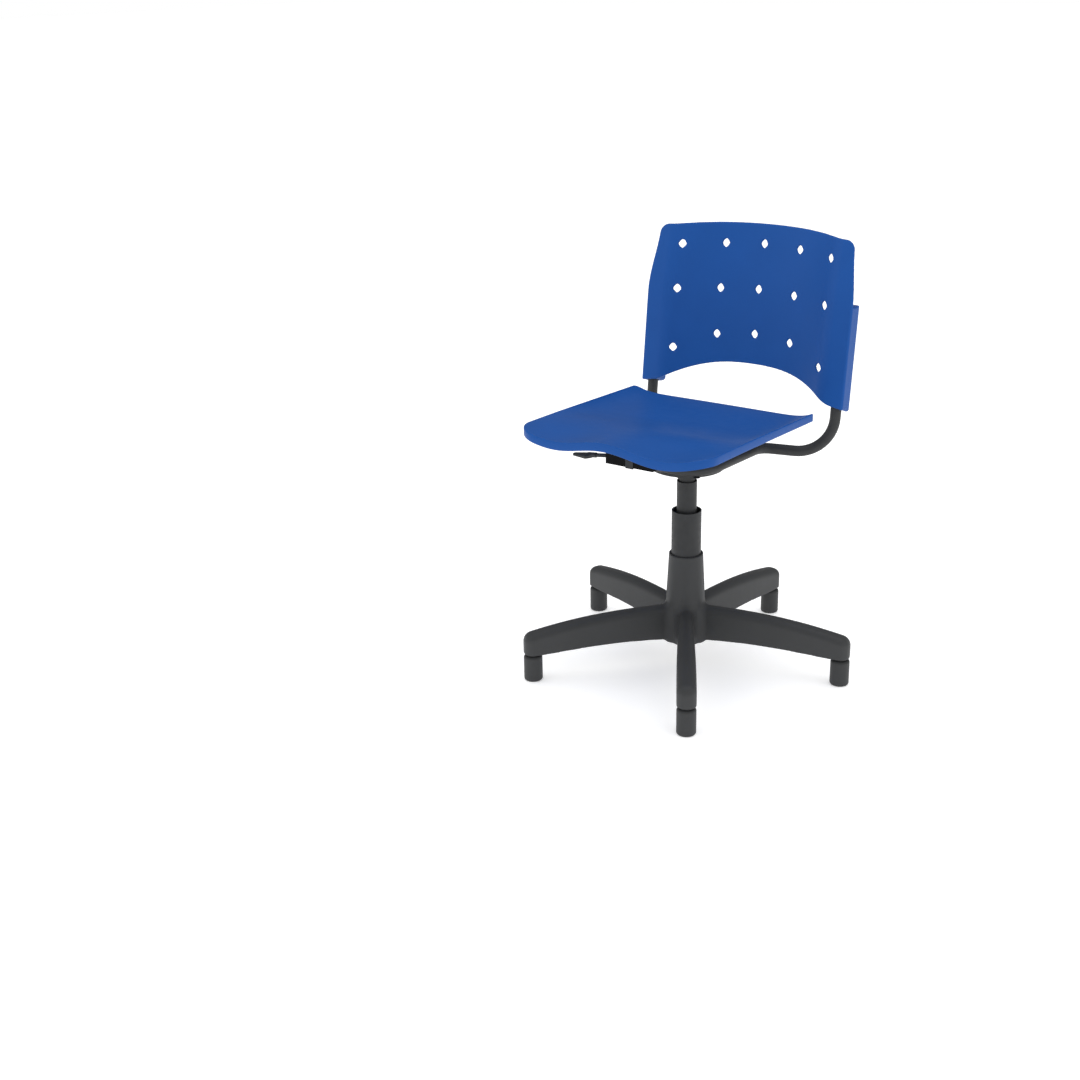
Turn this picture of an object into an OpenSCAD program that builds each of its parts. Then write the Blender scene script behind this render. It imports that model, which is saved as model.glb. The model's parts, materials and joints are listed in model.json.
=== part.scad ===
// Student swivel chair: moulded seat and back on a bent tube frame, carried by
// a gas-lift column on a five-arm star base with glide feet.
// Units are millimetres. The origin is on the floor, on the swivel axis.
// +Z is up, the chair faces -Y, and +X is on the sitter's left.

/* [Star base] */
// Distance from the swivel axis to the centre of each foot
base_r = 280; // [250:1:310]
// Angle of the first arm from straight ahead, towards +X
arm_turn = 31; // [0:1:71]
// Width of an arm beside the hub
arm_root_w = 27; // [24:1:32]
// Width of an arm over its foot
arm_tip_w = 33; // [30:1:38]
// Outer diameter of the hub at its top
hub_d = 60; // [58:1:64]
// Outer diameter of the hub where the arms leave it
hub_foot_d = 69; // [66:1:74]
// Height of the top of the hub above the floor
hub_top = 209; // [195:1:225]
// Diameter of a glide foot
foot_d = 33; // [28:1:36]
// Height of a glide foot
foot_h = 47; // [44:1:48]

/* [Column] */
// Outer diameter of the stand tube
stand_d = 52; // [50:0.5:54]
// Height of the rim of the stand tube
stand_top = 288; // [280:1:296]
// Outer diameter of the sleeve round the gas spring
sleeve_d = 35; // [34:0.5:37]
// Height of the rim of the sleeve
sleeve_top = 342; // [334:1:345]
// Diameter of the gas spring's pressure tube
spring_d = 27; // [26:0.5:28]

/* [Frame] */
// Outer diameter of the bent frame tube
tube_d = 19; // [18:0.5:20]
// Wall thickness of the frame tube
tube_wall = 1.5; // [1.2:0.1:2]
// Height of the tube's centre line under the seat
tube_z = 381; // [379:1:384]
// Half the spacing of the tube's two runs beside the column
tube_half = 61; // [58:1:64]
// Distance from the middle of the chair to the tube's upright ends
upright_x = 185; // [180:0.5:190]

/* [Seat] */
// Overall width of the seat
seat_w = 358; // [340:1:380]
// Distance of the seat's front edge ahead of the swivel axis
seat_front = 262; // [240:1:280]
// Distance of the seat's rear edge behind the swivel axis
seat_rear = 116; // [100:1:125]
// Height of the rim of the seat at its front corners
seat_h = 477; // [472:1:485]
// Depth of the turned-down rim
rim_h = 14; // [11:0.5:16]
// Depth of the hollow in the middle of the seat
pan_drop = 15; // [8:1:20]
// Height of the wave along the front edge
wave_h = 12.5; // [0:0.5:16]

/* [Back] */
// Height of the top of the back at its middle
back_top = 742; // [720:1:760]
// Height of the lowest corners of the back
back_bottom = 453; // [450:1:465]
// Height of the arch between those corners
arch_h = 44.5; // [30:0.5:60]
// Rearward lean of the tube's uprights and the lower back, as run over rise
back_lean = 0.12; // [0.08:0.01:0.18]
// Further lean of the upper back
upper_lean = 0.12; // [0:0.01:0.2]
// Width of a diamond-shaped opening
opening_w = 13; // [10:0.5:20]
// Height of a diamond-shaped opening
opening_h = 16; // [12:0.5:22]

/* [Lever] */
// Distance of the release lever's pivot from the swivel axis
pivot_x = 55; // [52:1:58]
// Diameter of the lever rod
rod_d = 7; // [6:0.5:7.5]

/* [Hidden] */

$fn = 64;
eps = 0.01;
charcoal = "#3e4041";
black = "#0f0f10";
blue = "#2a5a9e";
steel = "#b8bbbe";
brass = "#b59a4c";

// ---- shared helpers ----

// smooth step from 0 at a to 1 at b
function ease(a, b, v) = let (t = min(1, max(0, (v - a) / (b - a)))) t * t * (3 - 2 * t);
function unit(v) = v / norm(v);

// faces that join ring after ring of n points, closed with a fan at both ends
function ring_faces(rings, n) = concat(
    [for (r = [0 : rings - 2], i = [0 : n - 1])
        let (j = (i + 1) % n, a = r * n + i, b = r * n + j, c = a + n, d = b + n) [a, b, c]],
    [for (r = [0 : rings - 2], i = [0 : n - 1])
        let (j = (i + 1) % n, a = r * n + i, b = r * n + j, c = a + n, d = b + n) [b, d, c]],
    [for (i = [0 : n - 1]) [rings * n, (i + 1) % n, i]],
    [for (i = [0 : n - 1]) [rings * n + 1, (rings - 1) * n + i, (rings - 1) * n + (i + 1) % n]]);

// mean of a list of points, used for the middle of a fan
function middle(pts) = [for (k = [0 : 2]) [for (p = pts) p[k]] * [for (p = pts) 1] / len(pts)];

// cylinder from point a to point b
module bar(a, b, d) {
    v = b - a;
    translate(a)
        rotate([0, acos(v[2] / norm(v)), atan2(v[1], v[0])])
            cylinder(d = d, h = norm(v));
}

// points of a round bend of radius r that takes corner c, from direction u to direction v
bend_steps = 6;
function bend(c, u, v, r) = let (
        turn = acos(u * v),
        side = unit(v - u * (u * v)),
        centre = c - u * r * tan(turn / 2) + side * r)
    [for (k = [0 : bend_steps]) let (a = turn * k / bend_steps) centre - side * r * cos(a) + u * r * sin(a)];

// centre line through the points, with a bend of the given radius at each inner point
function bent_line(pts, radii) = let (
        last = len(pts) - 1,
        dirs = [for (i = [0 : last - 1]) unit(pts[i + 1] - pts[i])])
    concat([pts[0]],
        [for (i = [1 : last - 1], p = bend(pts[i], dirs[i - 1], dirs[i], radii[i - 1])) p],
        [pts[last]]);

function tangents(line) = let (last = len(line) - 1)
    [for (i = [0 : last]) unit(line[min(last, i + 1)] - line[max(0, i - 1)])];

// a side direction for each point of a line, carried along it without twist
function sides(t, i, first) = i == 0 ? [unit(first - t[0] * (first * t[0]))]
    : let (before = sides(t, i - 1, first), s = before[i - 1]) concat(before, [unit(s - t[i] * (s * t[i]))]);

// round rings of n points and radius r along a bent line, one ring per point
function tube_rings(line, r, n) = let (
        t = tangents(line),
        side = sides(t, len(line) - 1, [0, 0.6, 0.8]))
    [for (i = [0 : len(line) - 1]) let (up = cross(t[i], side[i]))
        [for (k = [0 : n - 1]) line[i] + r * cos(360 * k / n) * side[i] - r * sin(360 * k / n) * up]];

// solid round rod along a bent line
module swept_rod(line, d, n) {
    rings = tube_rings(line, d / 2, n);
    pts = [for (r = rings, p = r) p];
    polyhedron(concat(pts, [line[0], line[len(line) - 1]]), ring_faces(len(rings), n));
}

// hollow tube along a bent line: the outer skin one way, then the inner skin back
module swept_tube(line, d, wall, n) {
    outer = tube_rings(line, d / 2, n);
    inner = tube_rings(line, d / 2 - wall, n);
    last = len(line) - 1;
    rings = concat(outer, [for (i = [last : -1 : 0]) inner[i]]);
    count = len(rings);
    polyhedron([for (r = rings, p = r) p],
        [for (r = [0 : count - 1], i = [0 : n - 1], half = [0, 1])
            let (j = (i + 1) % n, q = (r + 1) % count)
                half == 0 ? [r * n + i, r * n + j, q * n + i] : [r * n + j, q * n + j, q * n + i]]);
}

// ring-shaped solid of revolution
module ring(d_out, d_in, z0, z1) {
    translate([0, 0, z0])
        difference() {
            cylinder(d = d_out, h = z1 - z0);
            translate([0, 0, -1])
                cylinder(d = d_in, h = z1 - z0 + 2);
        }
}

module mirrored() {
    children();
    mirror([1, 0, 0])
        children();
}

module at_feet() {
    for (k = [0 : 4])
        rotate(arm_turn + 72 * k - 90)
            translate([base_r, 0, 0])
                children();
}

// ---- star base and feet ----

arm_end = base_r + 16;
arm_under = 50;
stem_d = 11;
stem_top = 78;
hub_floor = 62;

// height of the top and of the underside of an arm at distance s from the axis
function arm_top(s) = 113 - 22 * pow(max(0, s - 60) / 215, 2);
function arm_low(s) = arm_under + 5 * sin(180 * min(1, max(0, (s - 30) / (base_r - 45))));
function arm_half(s) = (arm_root_w + (arm_tip_w - arm_root_w) * ease(60, 240, s)) / 2;
// how far the blunt end has closed in at distance s, from 1 down to 0
function arm_close(s) = sqrt(max(0, 1 - pow(max(0, s - (arm_end - 24)) / 24, 2)));

// one cross-section of an arm: straight sides, domed top and a flat underside
function arm_ring(s) = let (
        close = arm_close(s),
        w = arm_half(s) * (0.45 + 0.55 * close),
        low = arm_low(s),
        top = low + (arm_top(s) - low) * (0.4 + 0.6 * close),
        dome = min(w, 14))
    concat([[s, -w, low + 3]],
        [for (a = [0 : 15 : 180]) [s, -w * cos(a), top - dome + dome * sin(a)]],
        [[s, w, low + 3], [s, w - 3, low], [s, -w + 3, low]]);

arm_stations = [20, 45, 75, 105, 135, 165, 195, 225, 250, arm_end - 24, arm_end - 16, arm_end - 9,
                arm_end - 4, arm_end - 1, arm_end];

module arm() {
    rings = [for (s = arm_stations) arm_ring(s)];
    n = len(rings[0]);
    pts = [for (r = rings, p = r) p];
    polyhedron(concat(pts, [middle(rings[0]), middle(rings[len(rings) - 1])]),
        ring_faces(len(rings), n));
}

module star_base() {
    foot_r = hub_foot_d / 2;
    flare = 8;
    color(charcoal)
        difference() {
            union() {
                for (k = [0 : 4])
                    rotate(arm_turn + 72 * k - 90)
                        arm();
                rotate_extrude()
                    polygon(concat(
                        [[0, 46], [foot_r - 2, 46], [foot_r, 48], [foot_r, 112], [foot_r + flare, 112]],
                        [for (a = [15 : 15 : 90]) [foot_r + flare - flare * sin(a), 122 - flare * cos(a)]],
                        [[hub_d / 2, hub_top - 1], [hub_d / 2 - 1, hub_top], [0, hub_top]]));
                at_feet()
                    translate([0, 0, arm_under - 1])
                        cylinder(d = 24, h = 12);
            }
            translate([0, 0, hub_floor])
                cylinder(d = stand_d + 0.4, h = hub_top);
            translate([0, 0, 40])
                cylinder(d = stand_d - 8, h = hub_top);
            at_feet()
                translate([0, 0, 40])
                    cylinder(d = stem_d + 0.1, h = stem_top - 40 + 1);
        }
}

module glide_feet() {
    r = foot_d / 2;
    crown = 5;
    sole = 4;
    color(charcoal)
        at_feet()
            difference() {
                rotate_extrude()
                    polygon(concat(
                        [[0, 0], [r - sole, 0]],
                        [for (a = [15 : 15 : 90]) [r - sole + sole * sin(a), sole - sole * cos(a)]],
                        [for (a = [0 : 15 : 90])
                            [r - crown + crown * cos(a), foot_h - crown + crown * sin(a)]],
                        [[0, foot_h]]));
                translate([0, 0, 15])
                    cylinder(d = stem_d + 0.1, h = foot_h);
            }
}

module foot_stems() {
    collar_d = 22;
    color(charcoal)
        at_feet()
            difference() {
                union() {
                    translate([0, 0, 15.5])
                        cylinder(d = stem_d, h = stem_top - 15.5);
                    translate([0, 0, foot_h])
                        cylinder(d = collar_d, h = arm_under - 1 - foot_h);
                }
                translate([0, 0, stem_top - 8])
                    ring(stem_d + 4, stem_d - 2, 0, 3);
            }
}

// ---- column ----

stand_bottom = hub_floor;
stand_floor = 4;
stand_bore = stand_d - 4.4;
bush_top = stand_top - 12;
bush_bottom = 205;
sleeve_bottom = 138;
spring_bottom = 132;
piston_z = 222;
rod_core_d = 10;
bearing_z = stand_bottom + stand_floor;
bearing_d = 30;
washer_t = 2;
ball_d = 3.2;
bearing_top = bearing_z + 2 * washer_t + ball_d;
nose_z = 350;
nose_top = 388;
nose_d = spring_d - 1.4;

module stand_tube() {
    color(charcoal)
        difference() {
            translate([0, 0, stand_bottom])
                cylinder(d = stand_d, h = stand_top - stand_bottom);
            translate([0, 0, bearing_z])
                cylinder(d = stand_bore, h = stand_top);
            translate([0, 0, stand_bottom - 1])
                cylinder(d = rod_core_d + 0.1, h = 20);
        }
}

module guide_bush() {
    color(black)
        ring(stand_bore, sleeve_d + 0.14, bush_bottom, bush_top);
}

module piston_rod() {
    groove_z = stand_bottom - 5;
    color(steel)
        difference() {
            union() {
                translate([0, 0, stand_bottom - 8])
                    cylinder(d = rod_core_d, h = piston_z + 20 - stand_bottom + 8);
                translate([0, 0, bearing_top])
                    cylinder(d = 16, h = 6);
            }
            ring(rod_core_d + 4, rod_core_d - 2, groove_z, groove_z + 1.6);
        }
}

module piston() {
    d = spring_d - 3.1;
    color(brass)
        difference() {
            ring(d, rod_core_d, piston_z, piston_z + 14);
            ring(d + 4, d - 3, piston_z + 5, piston_z + 8);
        }
}

module bearing_washers() {
    color(steel) {
        ring(bearing_d, rod_core_d + 0.1, bearing_z + 0.05, bearing_z + washer_t);
        ring(bearing_d, rod_core_d + 0.1, bearing_top - washer_t, bearing_top - 0.05);
    }
}

ball_circle = 10.5;
ball_count = 12;

module at_balls() {
    for (k = [0 : ball_count - 1])
        rotate(k * 360 / ball_count)
            translate([ball_circle, 0, bearing_z + washer_t + ball_d / 2])
                children();
}

module bearing_balls() {
    color(steel)
        at_balls()
            sphere(d = ball_d - 0.04, $fn = 24);
}

module bearing_cage() {
    mid = bearing_z + washer_t + ball_d / 2;
    color(brass)
        difference() {
            ring(bearing_d - 2, rod_core_d + 2, mid - 0.6, mid + 0.6);
            at_balls()
                cylinder(d = ball_d + 0.1, h = 3, center = true);
        }
}

module retaining_clip() {
    z = stand_bottom - 4.9;
    color(steel)
        difference() {
            ring(rod_core_d + 9, rod_core_d - 1.9, z, z + 1.4);
            translate([rod_core_d, 0, z])
                cube([rod_core_d * 2, 5, 6], center = true);
        }
}

module pressure_tube() {
    color(charcoal)
        difference() {
            union() {
                translate([0, 0, spring_bottom])
                    cylinder(d = spring_d, h = nose_z - spring_bottom);
                translate([0, 0, nose_z])
                    cylinder(d1 = spring_d, d2 = nose_d, h = nose_top - nose_z);
            }
            translate([0, 0, spring_bottom - 1])
                cylinder(d = spring_d - 3, h = nose_z - 10 - spring_bottom);
            cylinder(d = 7.1, h = nose_top + 1);
        }
}

module spring_seal() {
    color(black)
        ring(spring_d - 3.05, rod_core_d + 0.1, spring_bottom + 1, spring_bottom + 22);
}

module spring_sleeve() {
    color(charcoal)
        ring(sleeve_d, sleeve_d - 4, sleeve_bottom, sleeve_top);
}

module sleeve_rings() {
    color(black) {
        ring(sleeve_d - 4.05, spring_d + 0.05, sleeve_bottom, sleeve_bottom + 12);
        ring(sleeve_d - 4.05, spring_d + 0.05, sleeve_top - 18, sleeve_top - 8);
    }
}

// ---- frame under the seat ----

plate_r = tube_half + 3;
plate_top = tube_z - tube_d / 2;
plate_t = 4;
boss_d = 38;
socket_mouth_y = 188.5;
knee = [75, 121, tube_z];
knee_r = 36;
elbow_r = 62;
elbow_z = tube_z - 10;
front_r = tube_half - 5;
upright_top = 600;

function upright_y(z) = socket_mouth_y + back_lean * (z - back_bottom);

// the tube runs level round the column, falls a little from each knee and turns up at each elbow
frame_pts = [[upright_x, upright_y(upright_top), upright_top],
             [upright_x, upright_y(elbow_z), elbow_z],
             knee,
             [tube_half, -tube_half, tube_z],
             [-tube_half, -tube_half, tube_z],
             [-knee[0], knee[1], knee[2]],
             [-upright_x, upright_y(elbow_z), elbow_z],
             [-upright_x, upright_y(upright_top), upright_top]];
frame_radii = [elbow_r, knee_r, front_r, front_r, knee_r, elbow_r];

// middle of each seat fixing, front pair first
front_fix = [tube_half - front_r * (1 - cos(45)) + 0.6, -tube_half + front_r * (1 - cos(45)) - 0.6];
rear_fix = [72.6, 90];
fix_d = 6.6;
screw_d = 6;
screw_head_d = 11;
sunk_head_h = 3.2;

module at_front_fixings() {
    mirrored()
        translate([front_fix[0], front_fix[1], 0])
            children();
}

module at_rear_fixings() {
    mirrored()
        translate([rear_fix[0], rear_fix[1], 0])
            children();
}

back_screw_d = 4;
back_screw_in = 3;

// the frame's upright ends at each back screw, with +Z pointing out of the rear of the socket
module at_back_screws() {
    mirrored()
        for (z = [500, 580])
            translate([upright_x, upright_y(z), z])
                rotate([-90 - atan(back_lean), 0, 0])
                    children();
}

module frame_tube() {
    color(charcoal)
        difference() {
            swept_tube(bent_line(frame_pts, frame_radii), tube_d, tube_wall, 24);
            at_front_fixings()
                translate([0, 0, tube_z - tube_d])
                    cylinder(d = fix_d, h = 2 * tube_d);
            at_rear_fixings() {
                translate([0, 0, tube_z - tube_d])
                    cylinder(d = screw_head_d + 0.6, h = tube_d);
                translate([0, 0, tube_z - 1])
                    cylinder(d = fix_d, h = tube_d);
            }
            at_back_screws()
                cylinder(d = back_screw_d + 0.1, h = tube_d);
        }
}

// pressed round plate welded under the tube, with the tapered socket for the gas spring
module hub_plate() {
    low = plate_top - plate_t;
    fillet = 7;
    color(charcoal)
        difference() {
            rotate_extrude()
                polygon(concat(
                    [[0, nose_z - 1], [boss_d / 2, nose_z - 1]],
                    [for (a = [0 : 15 : 90])
                        [boss_d / 2 + fillet - fillet * cos(a), low - fillet + fillet * sin(a)]],
                    [[plate_r, low], [plate_r, plate_top - 0.02], [boss_d / 2 - 1, plate_top - 0.02],
                     [boss_d / 2 - 2, nose_top - 3], [0, nose_top - 3]]));
            translate([0, 0, nose_z - 1.1])
                cylinder(d = spring_d + 0.1, h = 1.1 + eps);
            translate([0, 0, nose_z])
                cylinder(d1 = spring_d + 0.1, d2 = nose_d + 0.1, h = nose_top - nose_z);
            at_front_fixings() {
                translate([0, 0, low - 1])
                    cylinder(d = fix_d, h = 10);
                translate([0, 0, low - eps])
                    cylinder(d1 = screw_head_d + 0.4, d2 = screw_d + 0.4, h = sunk_head_h);
            }
        }
}

pad_z = 434;

module seat_spacers() {
    spacer_d = 24;
    low = tube_z + tube_d / 2 + 0.05;
    color(black) {
        at_front_fixings()
            ring(spacer_d, fix_d, low, pad_z);
        at_rear_fixings()
            ring(spacer_d, fix_d, low, pad_z);
    }
}

screw_top = pad_z + 6;

// screw with its head's lower face at z, and a head of height h that is wide at the top or the bottom
module seat_screw(z, low_d, high_d, h) {
    difference() {
        union() {
            translate([0, 0, z])
                cylinder(d1 = low_d, d2 = high_d, h = h);
            translate([0, 0, z])
                cylinder(d = screw_d, h = screw_top - z);
        }
        translate([0, 0, z - eps])
            cylinder(d = 4.6, h = 2, $fn = 6);
    }
}

// the front screws are sunk in the hub plate, and the rear ones sit inside the tube
module seat_screws() {
    color(black) {
        at_front_fixings()
            seat_screw(plate_top - plate_t, screw_head_d, screw_d, sunk_head_h);
        at_rear_fixings()
            seat_screw(tube_z + 1.8, screw_head_d - 2, screw_head_d, 3.6);
    }
}

insert_h = 7.5;

module seat_inserts() {
    color(brass)
        for (front = [true, false])
            mirrored()
                translate(front ? [front_fix[0], front_fix[1], 0] : [rear_fix[0], rear_fix[1], 0])
                    ring(11, screw_d + 0.1, pad_z + 0.2, pad_z + insert_h);
}

// ---- seat shell ----

seat_half = seat_w / 2;
seat_mid = (seat_rear - seat_front) / 2;
seat_half_len = (seat_rear + seat_front) / 2;
wall = 4.5;

// rim height, falling gently to the rear
function rim_z(y) = seat_h - 0.044 * (y + seat_front);
// two thigh hollows with a hump between them, strongest at the front edge
function wave(x, y) = wave_h * pow(sin(180 * min(1, abs(x) / (seat_half * 1.12))), 2)
    * (1 - ease(-seat_front, -110, y));
// sitting hollow behind a soft ridge: flat across, steep beside the rims, shallower at the rear
function bowl(x, y) = pan_drop * (1 - pow(abs(x) / seat_half, 10)) * ease(-190, -20, y)
    * (1 - 0.25 * ease(0, seat_rear, y));
function seat_z(x, y) = rim_z(y) - wave(x, y) - bowl(x, y);
function mid_wall_z(p) = seat_z(p[0], p[1]) - wall / 2;

// outline of the seat, corner by corner, as points on four arcs and the edges between them
front_corner = 42;
rear_corner = 11;
corner_steps = 6;
edge_steps = 8;
function corner_pts(cx, cy, r, a0) = [for (i = [0 : corner_steps])
    [cx + r * cos(a0 + 90 * i / corner_steps), cy + r * sin(a0 + 90 * i / corner_steps)]];
function edge_pts(a, b) = [for (i = [1 : edge_steps - 1]) a + (b - a) * i / edge_steps];
function bowed(p) = [p[0], p[1] - 6 * (1 - pow(p[0] / seat_half, 2)) * (p[1] < seat_mid ? 1 : -0.6)
    * ease(0.6, 1, abs(p[1] - seat_mid) / seat_half_len)];
seat_outline = let (
        rr = corner_pts(seat_half - rear_corner, seat_rear - rear_corner, rear_corner, 0),
        rl = corner_pts(-seat_half + rear_corner, seat_rear - rear_corner, rear_corner, 90),
        fl = corner_pts(-seat_half + front_corner, -seat_front + 6 + front_corner, front_corner, 180),
        fr = corner_pts(seat_half - front_corner, -seat_front + 6 + front_corner, front_corner, 270))
    [for (p = concat(rr, edge_pts(rr[corner_steps], rl[0]), rl, edge_pts(rl[corner_steps], fl[0]),
        fl, edge_pts(fl[corner_steps], fr[0]), fr, edge_pts(fr[corner_steps], rr[0]))) bowed(p)];

// outline shrunk by a distance towards the middle of the seat
function inset(p, d) = [p[0] * (1 - d / seat_half), seat_mid + (p[1] - seat_mid) * (1 - d / seat_half_len)];
// ring of points on the seat's surface at an inset, raised by dz
function seat_ring(d, dz) = [for (p = seat_outline)
    let (q = inset(p, d)) [q[0], q[1], seat_z(q[0], q[1]) + dz]];
// ring of points at the height of the seat's edge, raised by dz
function rim_ring(d, dz) = [for (p = seat_outline)
    let (q = inset(p, d)) [q[0], q[1], seat_z(p[0], p[1]) + dz]];

module seat_shell() {
    top_insets = [150, 120, 92, 68, 46, 28, 14, 6, 2.5];
    low_insets = [wall + 1, 8, 16, 30, 48, 70, 94, 122, 150];
    rings = concat(
        [for (d = top_insets) seat_ring(d, 0)],
        [rim_ring(0.7, -0.8), rim_ring(0, -2.6), rim_ring(0, 1 - rim_h), rim_ring(1, -rim_h),
         rim_ring(wall - 0.7, -rim_h)],
        [for (d = low_insets) seat_ring(d, -wall)]);
    n = len(seat_outline);
    pts = [for (r = rings, p = r) p];
    centre = [0, seat_mid, seat_z(0, seat_mid)];
    color(blue)
        difference() {
            union() {
                polyhedron(concat(pts, [centre, centre - [0, 0, wall]]), ring_faces(len(rings), n));
                at_front_fixings()
                    translate([0, 0, pad_z])
                        cylinder(d = 22, h = mid_wall_z(front_fix) - pad_z);
                at_rear_fixings()
                    translate([0, 0, pad_z])
                        cylinder(d = 22, h = mid_wall_z(rear_fix) - pad_z);
                translate([lever_left, lever_front, lever_pad])
                    cube([lever_right - lever_left, lever_back - lever_front,
                          mid_wall_z([-pivot_x, lever_y]) - lever_pad]);
            }
            at_front_fixings()
                translate([0, 0, pad_z - 1])
                    cylinder(d = 11.1, h = insert_h + 1.2);
            at_rear_fixings()
                translate([0, 0, pad_z - 1])
                    cylinder(d = 11.1, h = insert_h + 1.2);
            at_bracket_screws()
                translate([0, 0, lever_pad - 1])
                    cylinder(d = 4.1, h = 9);
        }
}

// ---- back shell ----

panel_t = 5;
panel_mid_y = 240;
panel_mid_z = 628;
corner_r = 16;
top_half = upright_x + 5;
bottom_half = top_half + 12;
opening_x = 73;

// height of the top edge at x
function top_edge(x) = back_top - 7.5 * pow(abs(x) / top_half, 2) - (abs(x) > top_half - corner_r
    ? corner_r - sqrt(max(0, corner_r * corner_r - pow(abs(x) - top_half + corner_r, 2))) : 0);
// height of the lower edge at x: an arch that levels out under each socket
arch_reach = upright_x - 8;
function low_edge(x) = back_bottom
    + max(arch_h * (1 - pow(abs(x) / arch_reach, 2.5)), 0.17 * (bottom_half - abs(x)));
// half width of the panel at height z
function back_half(z) = top_half + (bottom_half - top_half) * ease(735, 620, z);
// the distance from the middle that counts for the hollow: it stops growing before the flat side wings
wing_x = upright_x - 13;
roll = 26;
function rolled(x) = let (a = min(abs(x), wing_x), over = max(0, a - wing_x + roll))
    a - over * over / (2 * roll);
// height over which the extra lean of the upper back has taken effect
bend_z = 600;
bend_h = 60;
function risen(z) = z > bend_z + bend_h ? z - bend_z - bend_h / 2 : pow(max(0, z - bend_z), 2) / (2 * bend_h);
// front surface of the panel
function back_y(x, z) = panel_mid_y + back_lean * (z - panel_mid_z) + upper_lean * risen(z)
    - 36 * pow(rolled(x) / (2 * opening_x), 2.5);

module back_panel() {
    cols = [for (i = [-14 : 14]) let (t = i / 14) sign(t) * pow(abs(t), 0.8)];
    rows = 14;
    grid = [for (side = [0, 1], j = [0 : rows], c = cols)
        let (v = j / rows, zr = back_bottom + (back_top - back_bottom) * v,
             x = c * back_half(zr), z = low_edge(x) + (top_edge(x) - low_edge(x)) * v)
        [x, back_y(x, z) + side * panel_t, z]];
    n = len(cols);
    m = n * (rows + 1);
    loop = concat([for (i = [0 : n - 1]) i], [for (j = [1 : rows]) j * n + n - 1],
        [for (i = [n - 2 : -1 : 0]) rows * n + i], [for (j = [rows - 1 : -1 : 1]) j * n]);
    faces = concat(
        [for (j = [0 : rows - 1], i = [0 : n - 2]) let (a = j * n + i) [a, a + n, a + 1]],
        [for (j = [0 : rows - 1], i = [0 : n - 2]) let (a = j * n + i) [a + 1, a + n, a + n + 1]],
        [for (j = [0 : rows - 1], i = [0 : n - 2]) let (a = m + j * n + i) [a, a + 1, a + n]],
        [for (j = [0 : rows - 1], i = [0 : n - 2]) let (a = m + j * n + i) [a + 1, a + n + 1, a + n]],
        [for (k = [0 : len(loop) - 1]) let (a = loop[k], b = loop[(k + 1) % len(loop)]) [a, b, a + m]],
        [for (k = [0 : len(loop) - 1]) let (a = loop[k], b = loop[(k + 1) % len(loop)]) [b, b + m, a + m]]);
    polyhedron(grid, faces);
}

// rounded box along each upright that holds the end of the frame tube
socket_top = 626;
socket_edge_r = 6;
socket_side = 11;
socket_ahead = 6;
socket_behind = 11.5;
socket_rear = socket_behind * cos(atan(back_lean)) + socket_edge_r;
// how much lower the rear of the socket's mouth is than its front
socket_slant = 4;

module back_socket() {
    high = [upright_x, upright_y(socket_top), socket_top];
    hull()
        for (x = [-socket_side, socket_side], behind = [false, true]) {
            mouth = back_bottom - (behind ? socket_slant : 0);
            translate([x, behind ? socket_behind : -socket_ahead, 0])
                bar([upright_x, upright_y(mouth), mouth], high, 2 * socket_edge_r, $fn = 32);
        }
}

// middle height of an opening: three bowed rows of five, with the sides of the lowest row set down
row_z = [708, 630, 551];
side_drop = [0, 3, 27];
function opening_z(row, col) = row_z[row] - 3 * abs(col) - (row == 2 ? side_drop[abs(col)] : 0);

module diamond(half_w, half_h) {
    polygon([[half_w, 0], [0, half_h], [-half_w, 0], [0, -half_h]]);
}

module back_shell() {
    mouth = back_bottom - socket_slant - 10;
    mouth_pt = [upright_x, upright_y(mouth), mouth];
    tube_end = [upright_x, upright_y(upright_top + 2), upright_top + 2];
    color(blue)
        difference() {
            union() {
                back_panel();
                mirrored()
                    back_socket();
            }
            mirrored()
                bar(mouth_pt, tube_end, tube_d + 0.2);
            for (row = [0 : 2], col = [-2 : 2])
                translate([col * opening_x, panel_mid_y + 60, opening_z(row, col)])
                    rotate([90, 0, 0])
                        linear_extrude(160)
                            diamond(opening_w / 2, opening_h / 2);
            at_back_screws()
                cylinder(d = back_screw_d + 0.1, h = socket_rear + 5);
        }
}

module back_screws() {
    head_d = 8.5;
    head_h = 2.6;
    head_z = socket_rear + 0.05;
    start = tube_d / 2 - back_screw_in;
    color(black)
        at_back_screws() {
            translate([0, 0, start])
                cylinder(d = back_screw_d, h = head_z + 1 - start);
            translate([0, 0, head_z])
                cylinder(d1 = head_d, d2 = head_d - 2.5, h = head_h);
        }
}

// ---- height release lever ----

lever_front = -100;
lever_back = -78;
lever_left = -102;
lever_right = -8;
lever_pad = 436;
lever_low = 383;
bracket_w = 15;
bracket_t = 2.5;
pivot_z = 398;
pin_d = 5;
lever_y = (lever_front + lever_back) / 2;

module at_bracket_screws() {
    for (x = [-84, -pivot_x, -24])
        translate([x, lever_y, 0])
            children();
}

// steel channel that hangs from the seat and carries the lever's pin
module lever_bracket() {
    color(charcoal)
        difference() {
            translate([-pivot_x - bracket_w / 2, lever_front, lever_low - 2])
                cube([bracket_w, lever_back - lever_front, lever_pad - lever_low + 2 - 0.05]);
            translate([-pivot_x - bracket_w, lever_front + bracket_t, lever_low - 5])
                cube([bracket_w * 2, lever_back - lever_front - 2 * bracket_t,
                      lever_pad - lever_low + 5 - bracket_t]);
            translate([-pivot_x, lever_front - 1, pivot_z])
                rotate([-90, 0, 0])
                    cylinder(d = pin_d + 0.1, h = 30);
            translate([-pivot_x, lever_y, lever_pad - 10])
                cylinder(d = 4.4, h = 20);
        }
}

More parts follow.
